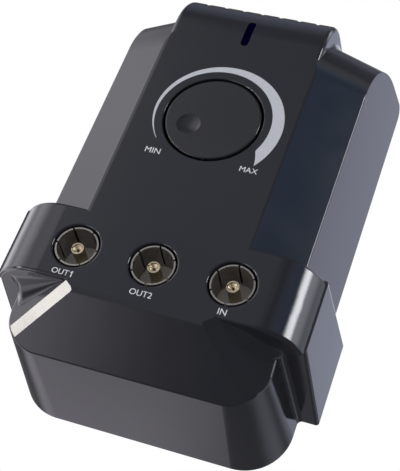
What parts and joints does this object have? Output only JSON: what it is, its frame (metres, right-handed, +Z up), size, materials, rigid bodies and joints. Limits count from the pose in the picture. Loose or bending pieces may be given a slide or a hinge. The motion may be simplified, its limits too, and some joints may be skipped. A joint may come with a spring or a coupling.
{
  "type": "plug-in tv signal amplifier",
  "caption": "Plug-in aerial signal amplifier with coaxial sockets in a band across a dark tapered case, a rotary gain control, a light window and wall-plug pins on the back.",
  "frame": {"origin": "centre of the plug's pin pattern on the flat back", "axes": "+X to the right seen from the front, +Y from the front to the wall, +Z up the wall"},
  "size_m": [0.0808, 0.0659, 0.1181],
  "materials": {
    "case": "satin gloss charcoal",
    "knob": "satin",
    "pin_plastic": "satin",
    "window": "dark blue, translucent",
    "lamp": "diffused",
    "tinned": "tinned",
    "board": "solder mask",
    "tinplate": "tinplate",
    "pot": "moulded",
    "track": "carbon track",
    "shaft": "turned",
    "contact": "nickelled",
    "steel": "zinc plated",
    "retainer": "moulded",
    "core": "laminated",
    "bobbin": "moulded",
    "copper": "enamelled copper wire",
    "capacitor": "sleeved",
    "black_component": "moulded",
    "fuse": "moulded",
    "ferrite": "sintered",
    "nickel": "nickel plated",
    "insulator": "smoky",
    "sleeve": "satin",
    "brass": "polished"
  },
  "bodies": {
    "case": {"amplifier_chip": "black_component", "board_link": "black_component", "case_screws": "steel", "centre_contact_in": "contact", "centre_contact_out_1": "contact", "centre_contact_out_2": "contact", "earth_pin": "pin_plastic", "front_cover": "case", "front_screen": "tinplate", "led_leads": "tinned", "light_window": "window", "live_pin": "brass", "live_pin_sleeve": "sleeve", "live_strap": "brass", "main_board": "board", "main_board_screws": "steel", "mains_fuse": "fuse", "neutral_pin": "brass", "neutral_pin_sleeve": "sleeve", "neutral_strap": "brass", "pin_retainer": "retainer", "pot_body": "pot", "pot_track": "track", "power_board": "board", "power_board_screws": "steel", "power_led": "lamp", "primary_winding": "copper", "rear_housing": "case", "rear_screen": "tinplate", "rectifier_diodes": "black_component", "retainer_screws": "steel", "secondary_winding": "copper", "smoothing_capacitor": "capacitor", "socket_insulator_in": "insulator", "socket_insulator_out_1": "insulator", "socket_insulator_out_2": "insulator", "socket_shell_in": "nickel", "socket_shell_out_1": "nickel", "socket_shell_out_2": "nickel", "splitter_core": "ferrite", "transformer_bobbin": "bobbin", "transformer_core": "core", "voltage_regulator": "black_component"},
    "gain_control": {"gain_knob": "knob", "pot_shaft": "shaft", "pot_rotor": "pin_plastic", "pot_wiper": "contact"}
  },
  "joints": [
    {"name": "gain_turn", "type": "hinge", "parent": "case", "child": "gain_control", "pos_m": [0, -0.0432, -0.0157], "axis": [0, 1, 0], "range_deg": [-17, 253]}
  ]
}
